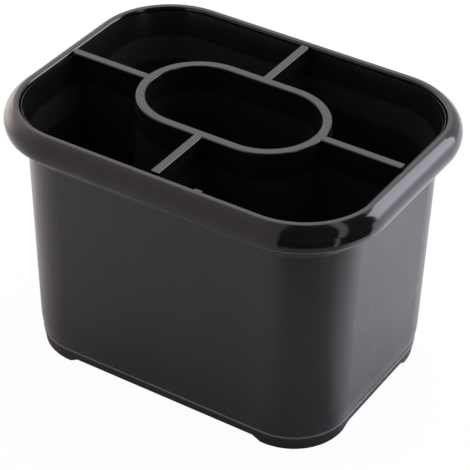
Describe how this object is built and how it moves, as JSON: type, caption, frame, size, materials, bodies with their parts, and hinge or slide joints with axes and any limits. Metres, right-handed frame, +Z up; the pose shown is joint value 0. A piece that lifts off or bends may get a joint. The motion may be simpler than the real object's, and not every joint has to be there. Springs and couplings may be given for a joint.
{
  "type": "cutlery drainer",
  "caption": "Rounded rectangular cutlery drainer: tapered tub with a rolled lip and a lift-out basket with an oval centre cup, corner cups and perforated floors.",
  "frame": {"origin": "middle of the footprint, on the plane the feet stand on", "axes": "+X along the long side, -Y towards the front, +Z up"},
  "size_m": [0.182, 0.137, 0.1266],
  "materials": {
    "tub_plastic": "glossy black moulded plastic",
    "basket_plastic": "satin black moulded plastic"
  },
  "bodies": {
    "tub": {"outer_tub": "tub_plastic"},
    "basket": {"inner_basket": "basket_plastic"}
  },
  "joints": [
    {"name": "basket_lift", "type": "slide", "parent": "tub", "child": "basket", "axis": [0, 0, 1], "range_m": [0, 0.116]}
  ]
}
